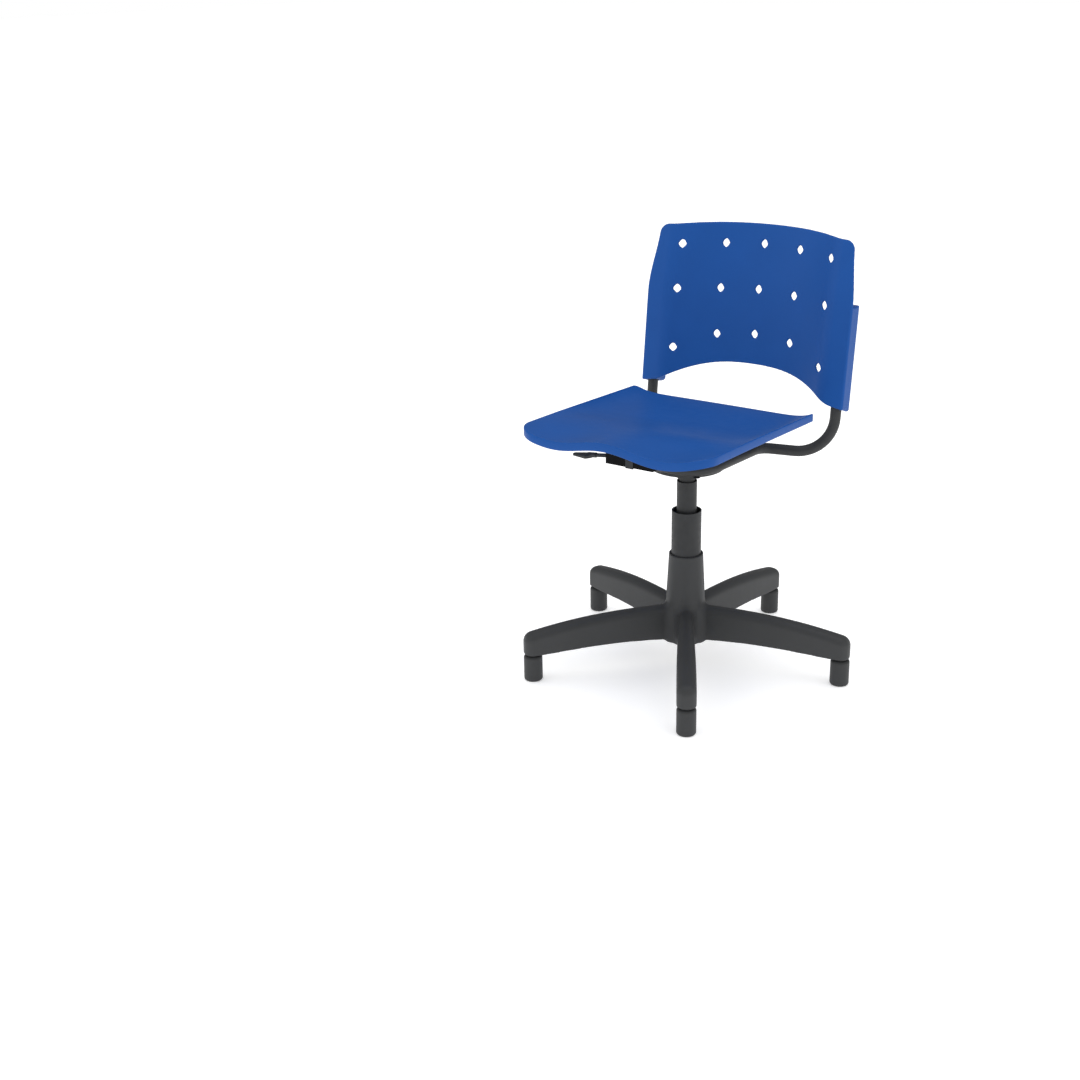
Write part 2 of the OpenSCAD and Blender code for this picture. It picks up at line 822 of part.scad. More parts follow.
// two moulded guide blocks, one each side of the bracket, with slots for the rod
module lever_blocks() {
    gap = 0.3;
    left_w = -pivot_x - bracket_w / 2 - gap - lever_left;
    right_x = -pivot_x + bracket_w / 2 + gap;
    color(black)
        difference() {
            union() {
                translate([lever_left, lever_front, lever_low])
                    cube([left_w, lever_back - lever_front, lever_pad - lever_low - 0.05]);
                translate([right_x, lever_front, lever_low])
                    cube([lever_right - right_x, lever_back - lever_front, lever_pad - lever_low - 0.05]);
            }
            translate([lever_left - 1, lever_front + 5, pivot_z - 13])
                cube([lever_right - lever_left + 2, lever_back - lever_front - 10 + 20, 27]);
            at_bracket_screws()
                translate([0, 0, pivot_z])
                    cylinder(d = 4.4, h = 60);
        }
}

module lever_pin() {
    color(black) {
        translate([-pivot_x, lever_front - 0.1, pivot_z])
            rotate([-90, 0, 0])
                cylinder(d = pin_d, h = lever_back - lever_front + 1.6);
        translate([-pivot_x, lever_front - 1.9, pivot_z])
            rotate([-90, 0, 0])
                cylinder(d = pin_d + 3, h = 1.8);
    }
}

module bracket_screws() {
    color(black)
        at_bracket_screws() {
            z = lever_pad - 9;
            translate([0, 0, z])
                cylinder(d = 4, h = 15);
        }
}

finger_z = pivot_z + 1.5;
rod_pts = [[0, 4, finger_z],
           [-4, lever_y, finger_z],
           [-106, lever_y, pivot_z - 5],
           [-134, lever_y - 4, pivot_z - 7.5]];

module lever_rod() {
    color(charcoal)
        difference() {
            union() {
                swept_rod(bent_line(rod_pts, [12, 20]), rod_d, 16);
                translate([-pivot_x, lever_y - 5, pivot_z])
                    rotate([-90, 0, 0])
                        cylinder(d = 12, h = 10);
            }
            translate([-pivot_x, lever_y - 20, pivot_z])
                rotate([-90, 0, 0])
                    cylinder(d = pin_d + 0.1, h = 40);
        }
}

module lever_paddle() {
    color(charcoal)
        difference() {
            hull() {
                translate([-132, lever_y - 4, pivot_z - 7.5])
                    sphere(d = 11, $fn = 24);
                translate([-142, lever_y - 7, pivot_z - 12.5])
                    cylinder(d = 17, h = 6, $fn = 32);
                translate([-164, lever_y - 9, pivot_z - 11.5])
                    cylinder(d = 10, h = 3.4, $fn = 32);
            }
            bar(rod_pts[2], rod_pts[3] + (rod_pts[3] - rod_pts[2]) * 0.02, rod_d + 0.1);
        }
}

module valve_button() {
    color(steel) {
        translate([0, 0, nose_top - 30])
            cylinder(d = 7, h = 30);
        translate([0, 0, nose_top - eps])
            cylinder(d = 6, h = finger_z - rod_d / 2 - 0.4 - nose_top);
    }
}

star_base();
glide_feet();
foot_stems();
stand_tube();
guide_bush();
piston_rod();
piston();
bearing_washers();
bearing_balls();
bearing_cage();
retaining_clip();
pressure_tube();
spring_seal();
spring_sleeve();
sleeve_rings();
valve_button();
hub_plate();
frame_tube();
seat_spacers();
seat_screws();
seat_inserts();
seat_shell();
back_shell();
back_screws();
lever_bracket();
lever_blocks();
lever_pin();
bracket_screws();
lever_rod();
lever_paddle();
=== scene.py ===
import json
import math

import bmesh
import bpy
import numpy as np
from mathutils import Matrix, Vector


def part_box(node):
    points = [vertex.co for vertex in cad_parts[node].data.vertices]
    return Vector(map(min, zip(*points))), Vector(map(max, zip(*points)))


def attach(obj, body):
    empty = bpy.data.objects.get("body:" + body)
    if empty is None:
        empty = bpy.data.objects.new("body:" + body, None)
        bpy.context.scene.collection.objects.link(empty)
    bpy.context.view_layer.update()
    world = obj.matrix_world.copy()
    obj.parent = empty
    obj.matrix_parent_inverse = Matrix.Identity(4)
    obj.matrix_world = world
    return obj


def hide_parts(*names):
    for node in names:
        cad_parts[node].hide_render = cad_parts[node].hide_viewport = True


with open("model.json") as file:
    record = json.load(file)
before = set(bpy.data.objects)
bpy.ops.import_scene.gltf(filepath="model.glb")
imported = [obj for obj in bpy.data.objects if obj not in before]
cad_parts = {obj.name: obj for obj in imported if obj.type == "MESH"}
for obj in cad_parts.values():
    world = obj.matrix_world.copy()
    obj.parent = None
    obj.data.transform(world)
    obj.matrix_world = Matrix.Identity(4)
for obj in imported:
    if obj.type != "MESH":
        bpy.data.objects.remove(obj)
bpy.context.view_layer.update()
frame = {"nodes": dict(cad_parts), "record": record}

import openvdb
from mathutils import Matrix, Vector

# Shapes are worked out in millimetres, in the row's frame: the floor is z = 0, the swivel axis
# is the z axis and the sitter faces -y. Meshes are made in metres.
MM = 0.001


def box_mm(node):
    """lowest and highest corners of a CAD node at rest, in millimetres"""
    low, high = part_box(node)
    return np.array(low) / MM, np.array(high) / MM


# ---------------------------------------------------------------- shapes from distance fields

def ease(a, b, v):
    """smooth step from 0 at a to 1 at b"""
    t = np.clip((v - a) / (b - a), 0, 1)
    return t * t * (3 - 2 * t)


def overlap(a, b, r):
    """the part inside both solids, with convex corners of radius r"""
    return np.minimum(np.maximum(a, b), -r) + np.hypot(np.maximum(a + r, 0), np.maximum(b + r, 0))


def join(a, b, r):
    """both solids together, with a fillet of radius r between them"""
    return -overlap(-a, -b, r)


def cut(a, b, r):
    """the first solid without the second, with an edge of radius r"""
    return overlap(a, -b, r)


def higher(a, b, r):
    """the higher of two heights, with the change-over rounded within r"""
    return np.maximum(a, b) + np.maximum(0, r - np.abs(a - b)) ** 2 / (4 * r)


def field_surface(field, low, high, step):
    """points in millimetres and quads of the surface where field(x, y, z) is zero"""
    axes = [np.arange(a - 3 * step, b + 3 * step, step, dtype=np.float32) for a, b in zip(low, high)]
    values = field(*np.meshgrid(*axes, indexing="ij", sparse=True))
    limit = 3 * step
    grid = openvdb.FloatGrid(limit)
    grid.copyFromArray(np.clip(values, -limit, limit).astype(np.float32))
    points, quads = grid.convertToQuads(0.0)
    return points * step + [a[0] for a in axes], quads.tolist()


# ---------------------------------------------------------------- pieces

def add_piece(name, points, faces, body, slot, node):
    """a smooth mesh piece from points in millimetres, on a body, standing for one CAD node"""
    mesh = bpy.data.meshes.new(name)
    mesh.from_pydata((np.asarray(points) * MM).tolist(), [], faces)
    mesh.update()
    shape = bmesh.new()
    shape.from_mesh(mesh)
    bmesh.ops.recalc_face_normals(shape, faces=shape.faces)
    shape.to_mesh(mesh)
    shape.free()
    mesh.shade_smooth()
    mesh.materials.append(MATERIALS[slot])
    piece = bpy.data.objects.new(name, mesh)
    bpy.context.scene.collection.objects.link(piece)
    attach(piece, body)
    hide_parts(node)


def ring_faces(rings, count, closed_ends=True):
    """quads between rings of count points, with a fan to one extra point at each end"""
    faces = []
    for r in range(rings - 1):
        for i in range(count):
            j = (i + 1) % count
            faces.append((r * count + i, r * count + j, (r + 1) * count + j, (r + 1) * count + i))
    if closed_ends:
        first, last = rings * count, rings * count + 1
        for i in range(count):
            j = (i + 1) % count
            faces.append((first, j, i))
            faces.append((last, (rings - 1) * count + i, (rings - 1) * count + j))
    return faces


# ---------------------------------------------------------------- swept tubes

def unit(v):
    """the vector at length 1"""
    return v / np.linalg.norm(v)


def bend_points(corner, u, v, radius, steps):
    """points of a round bend that takes a corner, from direction u to direction v"""
    turn = math.acos(float(np.clip(u @ v, -1, 1)))
    side = unit(v - u * (u @ v))
    centre = corner - u * radius * math.tan(turn / 2) + side * radius
    angles = [turn * k / steps for k in range(steps + 1)]
    return [centre - side * radius * math.cos(a) + u * radius * math.sin(a) for a in angles]


def bent_line(points, radii, steps=14):
    """points along straight runs, with a round bend of each radius at the inner corners"""
    points = [np.array(p, float) for p in points]
    directions = [unit(b - a) for a, b in zip(points, points[1:])]
    line = [points[0]]
    for corner, u, v, radius in zip(points[1:-1], directions, directions[1:], radii):
        line += bend_points(corner, u, v, radius, steps)
    return line + [points[-1]]


def tube_rings(line, radius, count):
    """round rings along a line, carried along without twist"""
    last = len(line) - 1
    side = np.array([0, 0.6, 0.8])
    rings = []
    for i, point in enumerate(line):
        along = unit(line[min(last, i + 1)] - line[max(0, i - 1)])
        side = unit(side - along * (side @ along))
        up = np.cross(along, side)
        for k in range(count):
            a = 2 * math.pi * k / count
            rings.append(point + radius * (math.cos(a) * side + math.sin(a) * up))
    return rings


# ---------------------------------------------------------------- star base

base_low, base_high = box_mm("star_base")
tube_low, tube_high = box_mm("stand_tube")

ARMS = 5
SECTOR = 2 * math.pi / ARMS
FIRST_ARM = math.radians(31 - 90)
FOOT_REACH = 280
ARM_END = FOOT_REACH + 16
CREST_Z, CREST_FALL = 113, 22
ARM_EDGE_R, ARM_TIP_R = 13, 14
HUB_TOP = base_high[2]
HUB_LOW = base_low[2]
HUB_TOP_R, HUB_FLARE = 30, 0.05
HUB_HOLE_R = 22
STAND_R = (tube_high[0] - tube_low[0]) / 2
TUBE_SEAT_Z = 62
BOSS_R, BOSS_LOW, BOSS_TOP = 12, 49, 60
STEM_R, STEM_TOP = 5.6, 79


def arm_crest(s):
    """height of an arm's crest at a distance s from the swivel axis"""
    return CREST_Z - CREST_FALL * (np.maximum(0, s - 60) / 215) ** 2


def arm_under(s):
    """height of an arm's underside, slightly arched"""
    return 50 + 5 * np.sin(math.pi * np.clip((s - 30) / (FOOT_REACH - 45), 0, 1))


def arm_half(s):
    """half the width of an arm, which grows towards its foot"""
    return 13.5 + 3 * ease(60, 240, s)


def star_field(x, y, z):
    """five arms, folded onto one by the turn, with the hub, foot bosses and their holes"""
    reach = np.hypot(x, y)
    turn = np.arctan2(y, x) - FIRST_ARM
    turn -= np.round(turn / SECTOR) * SECTOR
    s, t = reach * np.cos(turn), np.abs(reach * np.sin(turn))
    arm = overlap(overlap(t - arm_half(s), z - arm_crest(s), ARM_EDGE_R), s - ARM_END, ARM_TIP_R)
    arm = overlap(arm, arm_under(s) - z, 2)
    hub = overlap(reach - (HUB_TOP_R + HUB_FLARE * (HUB_TOP - z)), z - HUB_TOP, 1.2)
    hub = overlap(hub, HUB_LOW - z, 2)
    boss = overlap(np.hypot(s - FOOT_REACH, t) - BOSS_R, BOSS_LOW - z, 1)
    boss = overlap(boss, z - BOSS_TOP, 1)
    solid = join(join(arm, hub, 10), boss, 2)
    solid = cut(solid, overlap(reach - STAND_R - 0.3, TUBE_SEAT_Z - z, 0.5), 0.6)
    solid = cut(solid, reach - HUB_HOLE_R, 1)
    stem = overlap(np.hypot(s - FOOT_REACH, t) - STEM_R, z - STEM_TOP, 0.5)
    return cut(solid, stem, 0.5)


# ---------------------------------------------------------------- seat

seat_low, seat_high = box_mm("seat_shell")
SEAT_HALF = seat_high[0]
SEAT_FRONT, SEAT_REAR = -seat_low[1], seat_high[1]
SEAT_MID = (SEAT_REAR - SEAT_FRONT) / 2
SEAT_HALF_LEN = (SEAT_REAR + SEAT_FRONT) / 2
SEAT_H = 477
SEAT_SLOPE = 0.044
SEAT_RIM = 14
SEAT_WALL = 4.5
WAVE_H, WAVE_END = 12.5, -110
BOWL_H = 15


def rim_z(y):
    """height of the seat's rim, which falls evenly towards the rear"""
    return SEAT_H - SEAT_SLOPE * (y + SEAT_FRONT)


def seat_z(x, y):
    """top surface: two thigh hollows at the front edge and a wide sitting hollow behind them"""
    wave = WAVE_H * np.sin(math.pi * np.minimum(1, np.abs(x) / (SEAT_HALF * 1.12))) ** 2
    wave *= 1 - ease(-SEAT_FRONT, WAVE_END, y)
    bowl = BOWL_H * (1 - (np.abs(x) / SEAT_HALF) ** 10) * ease(-190, -20, y)
    bowl *= 1 - 0.25 * ease(0, SEAT_REAR, y)
    return rim_z(y) - wave - bowl


def corner_arc(cx, cy, r, start, steps=14):
    """points of a quarter circle that starts at an angle in degrees"""
    angles = [math.radians(start + 90 * i / steps) for i in range(steps + 1)]
    return [(cx + r * math.cos(a), cy + r * math.sin(a)) for a in angles]


def seat_outline():
    """the seat's edge: four corner arcs, with the front and rear edges bowed out between them"""
    front, rear, bow = 42, 11, 6
    arcs = [corner_arc(SEAT_HALF - rear, SEAT_REAR - rear, rear, 0),
            corner_arc(rear - SEAT_HALF, SEAT_REAR - rear, rear, 90),
            corner_arc(front - SEAT_HALF, bow + front - SEAT_FRONT, front, 180),
            corner_arc(SEAT_HALF - front, bow + front - SEAT_FRONT, front, 270)]
    points = []
    for arc, following in zip(arcs, arcs[1:] + arcs[:1]):
        a, b = np.array(arc[-1]), np.array(following[0])
        steps = int(np.linalg.norm(b - a) // 6)
        points += arc + [tuple(a + (b - a) * k / steps) for k in range(1, steps)]
    x, y = np.array(points).T
    ahead = np.where(y < SEAT_MID, 1, -0.6)
    near_end = ease(0.6, 1, np.abs(y - SEAT_MID) / SEAT_HALF_LEN)
    y = y - bow * (1 - (x / SEAT_HALF) ** 2) * ahead * near_end
    return np.stack([x, y], 1)


def make_seat():
    """the seat: rings from the middle of its top, round its rolled rim, to the middle of its underside"""
    outline = seat_outline()
    count = len(outline)

    def inset(d):
        """the outline drawn in by d on every side"""
        return np.stack([outline[:, 0] * (1 - d / SEAT_HALF),
                         SEAT_MID + (outline[:, 1] - SEAT_MID) * (1 - d / SEAT_HALF_LEN)], 1)

    def ring(d, drop, follow_rim):
        """the outline drawn in by d, below the top surface there or below the rim's height"""
        spot = inset(d)
        at = outline if follow_rim else spot
        return np.column_stack([spot, seat_z(at[:, 0], at[:, 1]) - drop])

    edge_r, low_edge_r, core = 2.2, 1.2, 8
    rings = [ring(d, 0, False) for d in np.linspace(SEAT_HALF - core, 10, 36)]
    rings += [ring(d, 0, False) for d in (7, 4.6, 3.2)]
    for a in np.radians([10, 28, 46, 64, 82]):
        rings.append(ring(edge_r * (1 - math.sin(a)), edge_r * (1 - math.cos(a)), True))
    for a in np.radians([0, 30, 60, 90]):
        rings.append(ring(low_edge_r * (1 - math.cos(a)),
                          SEAT_RIM - low_edge_r + low_edge_r * math.sin(a), True))
    rings.append(ring(SEAT_WALL - 1, SEAT_RIM, True))
    rings.append(ring(SEAT_WALL, SEAT_RIM - 1, True))
    rings += [ring(d, SEAT_WALL, False) for d in np.linspace(SEAT_WALL + 1, SEAT_HALF - core, 30)]
    top = (0, SEAT_MID, float(seat_z(0, SEAT_MID)))
    low = (0, SEAT_MID, top[2] - SEAT_WALL)
    points = np.vstack(rings + [[top], [low]])
    add_piece("seat", points, ring_faces(len(rings), count), "seat", "blue_plastic", "seat_shell")


# ---------------------------------------------------------------- back

back_low, back_high = box_mm("back_shell")
BACK_TOP, BACK_LOW = back_high[2], 453
TUBE_R = 9.5
UPRIGHT_Y = 188.5
LEAN, UPPER_LEAN = 0.12, 0.12
BEND_Z, BEND_H = 600, 60
PANEL_T = 5
PANEL_Y, PANEL_Z = 240, 628
HOLLOW, HOLLOW_POWER = 36, 2.5
CROWN_FALL = 7.5
ARCH_H, ARCH_POWER = 44.5, 2.5
SOCKET_HALF = 17
SOCKET_AHEAD, SOCKET_BEHIND = 12, 19.9
SOCKET_TOP = 626
SOCKET_SLANT = 0.36
TUBE_END = 602
UPRIGHT_X = box_mm("frame_tube")[1][0] - TUBE_R
TOP_HALF = UPRIGHT_X + 5
LOW_HALF = TOP_HALF + 12
WING_X = UPRIGHT_X - 13
ROLL = 26
OPENING_X = 73
OPENING_HALF, OPENING_HALF_H, OPENING_POWER = 6.5, 7.8, 1.4
# height of each row's middle opening, and how far the openings beside it sit below that
ROWS = ((708, (0, 3, 6)), (630, (0, 3, 6)), (551, (0, 6, 33)))


def upright_y(z):
    """y of the frame tube's leaning uprights"""
    return UPRIGHT_Y + LEAN * (z - BACK_LOW)


def rolled(x):
    """distance from the middle that counts for the hollow, and its rate of change"""
    a = np.minimum(np.abs(x), WING_X)
    over = np.maximum(0, a - WING_X + ROLL)
    return a - over ** 2 / (2 * ROLL), np.where(np.abs(x) < WING_X, 1 - over / ROLL, 0)


def back_front_y(x, z):
    """front surface of the back: bent back above its middle, hollow between flat side wings"""
    risen = np.where(z > BEND_Z + BEND_H, z - BEND_Z - BEND_H / 2,
                     np.maximum(0, z - BEND_Z) ** 2 / (2 * BEND_H))
    hollow = HOLLOW * (rolled(x)[0] / (2 * OPENING_X)) ** HOLLOW_POWER
    return PANEL_Y + LEAN * (z - PANEL_Z) + UPPER_LEAN * risen - hollow


def openings():
    """middle of each opening, in x and z: each row curves down towards its ends"""
    for height, drops in ROWS:
        for col in range(-2, 3):
            yield col * OPENING_X, height - drops[abs(col)]


def low_edge(x):
    """the arch, which levels out under each socket"""
    arch = ARCH_H * (1 - (np.abs(x) / (UPRIGHT_X - 8)) ** ARCH_POWER)
    return BACK_LOW + higher(arch, 0.17 * (LOW_HALF - np.abs(x)), 5)


def back_field(x, y, z):
    """the curved panel with its side wings, joined to two sockets over the tube's uprights"""
    ax = np.abs(x)
    crown = BACK_TOP - CROWN_FALL * (ax / TOP_HALF) ** 2
    half = TOP_HALF + (LOW_HALF - TOP_HALF) * (1 - ease(620, 735, z))
    outline = overlap(overlap(ax - half, z - crown, 16), low_edge(x) - z, 3)
    reach, rate = rolled(x)
    hollow_rate = HOLLOW * HOLLOW_POWER / (2 * OPENING_X)
    slope_x = hollow_rate * (reach / (2 * OPENING_X)) ** (HOLLOW_POWER - 1) * rate
    slope_z = LEAN + UPPER_LEAN * np.clip((z - BEND_Z) / BEND_H, 0, 1)
    steep = np.sqrt(1 + slope_z ** 2 + slope_x ** 2)
    sheet = np.abs(y - back_front_y(x, z) - PANEL_T / 2) / steep - PANEL_T / 2
    panel = overlap(sheet, outline, 2)
    behind = (y - upright_y(z)) / math.sqrt(1 + LEAN ** 2)
    out = ax - UPRIGHT_X
    socket = overlap(np.abs(out) - SOCKET_HALF, behind - SOCKET_BEHIND, 6)
    socket = overlap(socket, -SOCKET_AHEAD - behind, 3)
    mouth = low_edge(x) - SOCKET_SLANT * (behind + SOCKET_AHEAD)
    socket = overlap(overlap(socket, z - SOCKET_TOP, 1.6), mouth - z, 5.5)
    side = np.where(z < SOCKET_TOP, UPRIGHT_X + SOCKET_HALF, half)
    rolled_edge = overlap(ax - side, back_front_y(WING_X, z) - y, 3.5)
    whole = np.maximum(join(panel, socket, 3), rolled_edge)
    for cx, cz in openings():
        across = (np.abs(x - cx) / OPENING_HALF) ** OPENING_POWER
        upward = (np.abs(z - cz) / OPENING_HALF_H) ** OPENING_POWER
        diamond = 6.8 * ((across + upward) ** (1 / OPENING_POWER) - 1)
        whole = cut(whole, diamond, 0.8)
    return cut(whole, overlap(np.hypot(out, behind) - TUBE_R - 0.1, z - TUBE_END, 0.3), 0.8)


# ---------------------------------------------------------------- frame tube and lever

TUBE_Z = box_mm("seat_spacers")[0][2] - TUBE_R
TUBE_HALF = -box_mm("frame_tube")[0][1] - TUBE_R
UPRIGHT_TOP = 600
ELBOW_Z = TUBE_Z - 10
KNEE_X, KNEE_Y = 75, 121
ELBOW_R, KNEE_R, FRONT_R = 62, 36, TUBE_HALF - 5


def frame_line():
    """the tube's centre line: down one upright, forward, round the front and back up the other"""
    right = [(UPRIGHT_X, upright_y(UPRIGHT_TOP), UPRIGHT_TOP), (UPRIGHT_X, upright_y(ELBOW_Z), ELBOW_Z),
             (KNEE_X, KNEE_Y, TUBE_Z), (TUBE_HALF, -TUBE_HALF, TUBE_Z)]
    left = [(-x, y, z) for x, y, z in reversed(right)]
    return bent_line(right + left, [ELBOW_R, KNEE_R, FRONT_R, FRONT_R, KNEE_R, ELBOW_R])


def make_frame():
    """the bent frame tube, hollow and open at its two ends"""
    line, count, wall = frame_line(), 40, 1.5
    outer = tube_rings(line, TUBE_R, count)
    inner = tube_rings(line, TUBE_R - wall, count)
    n = len(line)
    points = np.vstack([outer, inner])
    faces = []
    for skin in (0, 1):
        start = skin * n * count
        faces += [tuple(start + i for i in face) for face in ring_faces(n, count, closed_ends=False)]
    for r in (0, n - 1):
        for i in range(count):
            j = (i + 1) % count
            a, b = r * count + i, r * count + j
            faces.append((a, b, b + n * count, a + n * count))
    add_piece("frame_tube_bent", points, faces, "seat", "frame_paint", "frame_tube")


pivot_low, pivot_high = box_mm("lever_pin")
LEVER_Y = (box_mm("lever_blocks")[0][1] + box_mm("lever_blocks")[1][1]) / 2
PIVOT_Z = (pivot_low[2] + pivot_high[2]) / 2
PLATE_START, PLATE_END = (-144, LEVER_Y - 7), (-165, LEVER_Y - 9)
PLATE_R, PLATE_NARROWS = 8.2, 3.2
PLATE_HALF_T, PLATE_THINS = 3, 1.1
PLATE_DROP, COLLAR_DROP = 9.6, 7.5
COLLAR_X, COLLAR_R = -134, 4.6


def paddle_field(x, y, z):
    """a thin rounded finger plate that thickens towards a collar on the rod"""
    start, end = np.array(PLATE_START), np.array(PLATE_END)
    run = end - start
    t = np.clip(((x - start[0]) * run[0] + (y - start[1]) * run[1]) / (run @ run), 0, 1)
    plan = np.hypot(x - start[0] - t * run[0], y - start[1] - t * run[1])
    plan -= PLATE_R - PLATE_NARROWS * t
    middle = PIVOT_Z - PLATE_DROP - 0.2 * t + 0.12 * (y - LEVER_Y + 8)
    plate = overlap(plan, np.abs(z - middle) - (PLATE_HALF_T - PLATE_THINS * t), 1.3)
    along = np.clip(x - COLLAR_X, -6, 7)
    aside = np.hypot(x - COLLAR_X - along, y - LEVER_Y + 4 - 0.14 * along)
    collar = np.hypot(aside, z - PIVOT_Z + COLLAR_DROP - 0.09 * along) - COLLAR_R
    return join(plate, collar, 4)


# ---------------------------------------------------------------- materials

def srgb(r, g, b):
    """linear colour of an 8-bit screen colour"""
    def one(v):
        v /= 255
        return v / 12.92 if v <= 0.04045 else ((v + 0.055) / 1.055) ** 2.4
    return (one(r), one(g), one(b), 1)


class Nodes:
    """short calls for building a material's node tree"""

    def __init__(self, name):
        self.material = bpy.data.materials.new(name)
        self.material.use_nodes = True
        self.tree = self.material.node_tree
        self.shader = self.tree.nodes["Principled BSDF"]
        self.place = self.add("ShaderNodeTexCoord").outputs["Object"]

    def add(self, kind, **settings):
        node = self.tree.nodes.new(kind)
        for key, value in settings.items():
            setattr(node, key, value)
        return node

    def link(self, source, target):
        self.tree.links.new(source, target)

    def noise(self, size_mm, detail=2.0, stretch=(1, 1, 1)):
        """noise whose features are about size_mm across"""
        mapping = self.add("ShaderNodeMapping")
        mapping.inputs["Scale"].default_value = stretch
        self.link(self.place, mapping.inputs["Vector"])
        node = self.add("ShaderNodeTexNoise")
        node.inputs["Scale"].default_value = 1 / (size_mm * MM)
        node.inputs["Detail"].default_value = detail
        self.link(mapping.outputs["Vector"], node.inputs["Vector"])
        return node.outputs["Fac"]

    def ranged(self, source, low, high, from_low=0.3, from_high=0.7):
        """a value stretched from one range to another"""
        node = self.add("ShaderNodeMapRange")
        node.inputs["From Min"].default_value = from_low
        node.inputs["From Max"].default_value = from_high
        node.inputs["To Min"].default_value = low
        node.inputs["To Max"].default_value = high
        self.link(source, node.inputs["Value"])
        return node.outputs["Result"]

    def feed(self, socket, value):
        """link a socket to another node's output, or set it to a plain value"""
        if hasattr(value, "is_linked"):
            self.link(value, socket)
        else:
            socket.default_value = value

    def mix(self, factor, a, b):
        """a colour between two colours"""
        node = self.add("ShaderNodeMix", data_type="RGBA")
        self.feed(node.inputs["Factor"], factor)
        self.feed(node.inputs["A"], a)
        self.feed(node.inputs["B"], b)
        return node.outputs["Result"]

    def math(self, operation, a, b):
        """the result of a sum, product or difference of two values"""
        node = self.add("ShaderNodeMath", operation=operation)
        self.feed(node.inputs[0], a)
        self.feed(node.inputs[1], b)
        return node.outputs["Value"]

    def edges(self, radius_mm):
        """1 on tight convex or concave edges, 0 on open surfaces"""
        bevel = self.add("ShaderNodeBevel", samples=4)
        bevel.inputs["Radius"].default_value = radius_mm * MM
        geometry = self.add("ShaderNodeNewGeometry")
        dot = self.add("ShaderNodeVectorMath", operation="DOT_PRODUCT")
        self.link(bevel.outputs["Normal"], dot.inputs[0])
        self.link(geometry.outputs["Normal"], dot.inputs[1])
        return self.ranged(dot.outputs["Value"], 1, 0, 0.75, 0.995)

    def bump(self, height, depth_mm, strength=1.0, normal=None):
        """a normal that follows a height, on top of another normal if one is given"""
        node = self.add("ShaderNodeBump")
        node.inputs["Strength"].default_value = strength
        node.inputs["Distance"].default_value = depth_mm * MM
        self.link(height, node.inputs["Height"])
        if normal is not None:
            self.link(normal, node.inputs["Normal"])
        return node.outputs["Normal"]


def tinted(colour, factor, lift=0.0):
    """a colour made darker or lighter by a factor, then lifted by a little grey"""
    return tuple(min(1, c * factor + lift) for c in colour[:3]) + (1,)


def moulded_plastic(name, colour, roughness, grain_mm, grain_depth, specular):
    """moulded plastic: fine spark-eroded grain, slight flow mottling and burnished edges"""
    n = Nodes(name)
    mottle = n.noise(60, 3)
    grain = n.noise(grain_mm, 3)
    scuffs = n.noise(14, 6, (1, 1, 0.35))
    edge = n.math("MULTIPLY", n.edges(1.6), n.ranged(n.noise(6, 4), 0.35, 1))
    base = n.mix(n.ranged(mottle, 0, 1), tinted(colour, 0.97), tinted(colour, 1.02))
    worn = tinted(colour, 1.3, 0.01)
    n.link(n.mix(n.math("MULTIPLY", edge, 0.45), base, worn), n.shader.inputs["Base Color"])
    patchy = n.ranged(scuffs, roughness - 0.015, roughness + 0.02)
    rough = n.math("ADD", patchy, n.ranged(grain, -0.03, 0.03))
    n.link(n.math("SUBTRACT", rough, n.math("MULTIPLY", edge, 0.1)), n.shader.inputs["Roughness"])
    n.shader.inputs["Specular IOR Level"].default_value = specular
    n.link(n.bump(grain, grain_depth, 0.6), n.shader.inputs["Normal"])
    return n.material


def powder_coat(name, colour, roughness):
    """powder coat on steel: orange-peel skin over fine texture, thin at the edges"""
    n = Nodes(name)
    peel = n.noise(2.4, 2)
    fine = n.noise(0.5, 2)
    edge = n.math("MULTIPLY", n.edges(1.0), n.ranged(n.noise(5, 4), 0.2, 1))
    base = n.mix(n.ranged(n.noise(30, 4), 0, 1), tinted(colour, 0.9), tinted(colour, 1.08))
    worn = tinted(colour, 1.5, 0.01)
    n.link(n.mix(n.math("MULTIPLY", edge, 0.5), base, worn), n.shader.inputs["Base Color"])
    n.link(n.ranged(n.noise(9, 5), roughness - 0.05, roughness + 0.07), n.shader.inputs["Roughness"])
    n.shader.inputs["Specular IOR Level"].default_value = 0.25
    n.link(n.bump(fine, 0.02, 0.5, n.bump(peel, 0.06, 0.5)), n.shader.inputs["Normal"])
    return n.material


def bare_metal(name, colour, roughness):
    """plated or turned metal: fine brushing across the upright axis, and dull patches"""
    n = Nodes(name)
    brushed = n.noise(0.4, 4, (1, 1, 12))
    dull = n.noise(7, 5)
    n.link(n.mix(n.ranged(dull, 0, 1), tinted(colour, 0.8), colour), n.shader.inputs["Base Color"])
    n.link(n.ranged(dull, roughness + 0.1, roughness - 0.05), n.shader.inputs["Roughness"])
    n.shader.inputs["Metallic"].default_value = 1.0
    n.link(n.bump(brushed, 0.02, 0.4), n.shader.inputs["Normal"])
    return n.material


def dull_rubber(name, colour):
    """matt rubber with fine grain and pale dust"""
    n = Nodes(name)
    grain = n.noise(0.8, 3)
    dust = n.noise(11, 5)
    dusty = tinted(colour, 1.6, 0.004)
    n.link(n.mix(n.ranged(dust, 0, 0.6), colour, dusty), n.shader.inputs["Base Color"])
    n.link(n.ranged(dust, 0.62, 0.8), n.shader.inputs["Roughness"])
    n.link(n.bump(grain, 0.05, 0.6), n.shader.inputs["Normal"])
    return n.material


